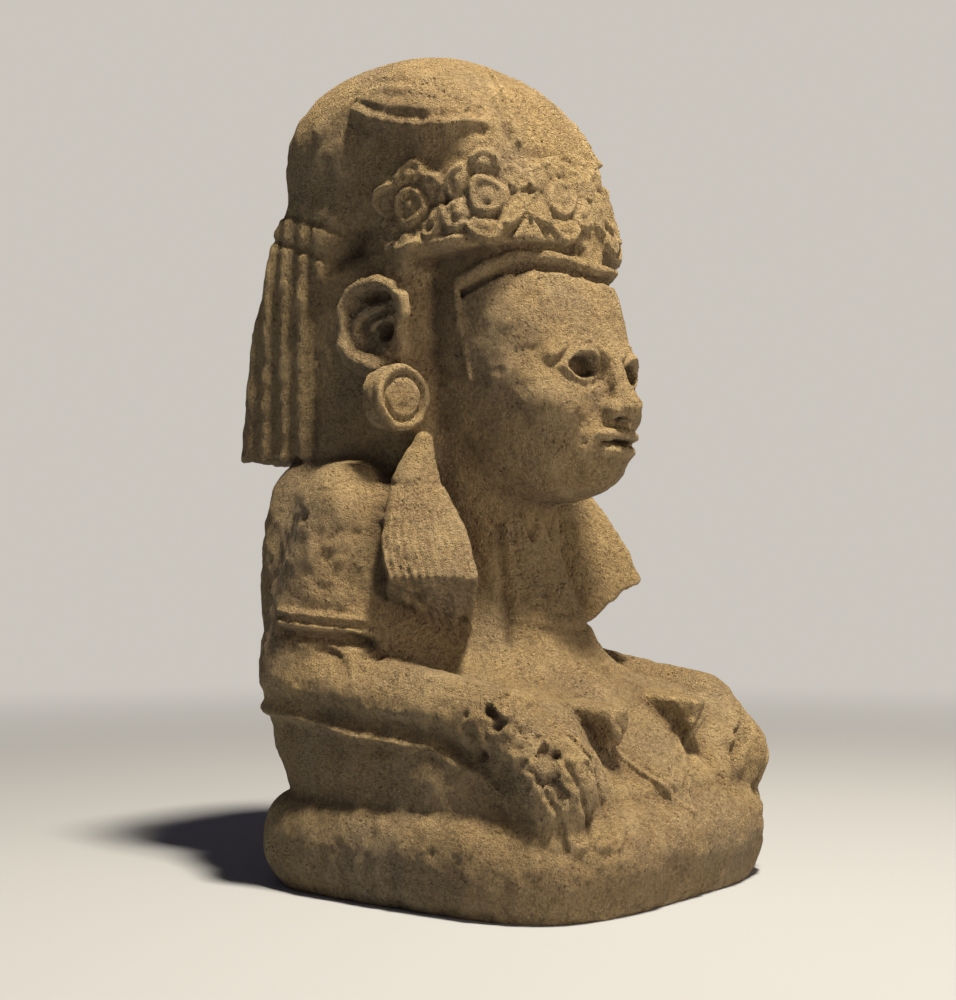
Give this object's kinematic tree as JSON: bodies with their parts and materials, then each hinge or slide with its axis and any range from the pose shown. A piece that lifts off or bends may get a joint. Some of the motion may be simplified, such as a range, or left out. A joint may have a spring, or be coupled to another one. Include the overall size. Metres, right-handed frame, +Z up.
{
  "type": "stone kneeling figure",
  "caption": "Solid stone figure kneeling with hands on the knees, tall headdress with a rosette band, ear flares and fringed tassels; stands on its flat underside.",
  "frame": {"origin": "middle of the folded legs on the flat underside", "axes": "+Z up, -Y the way the face looks, +X toward the figure's left hand"},
  "size_m": [0.3598, 0.4133, 0.697],
  "materials": {
    "volcanic_stone": "coarse porous volcanic stone, dull brown with a golden tan light face and darker pits"
  },
  "bodies": {
    "root": {"kneeling_figure": "volcanic_stone"}
  },
  "joints": []
}
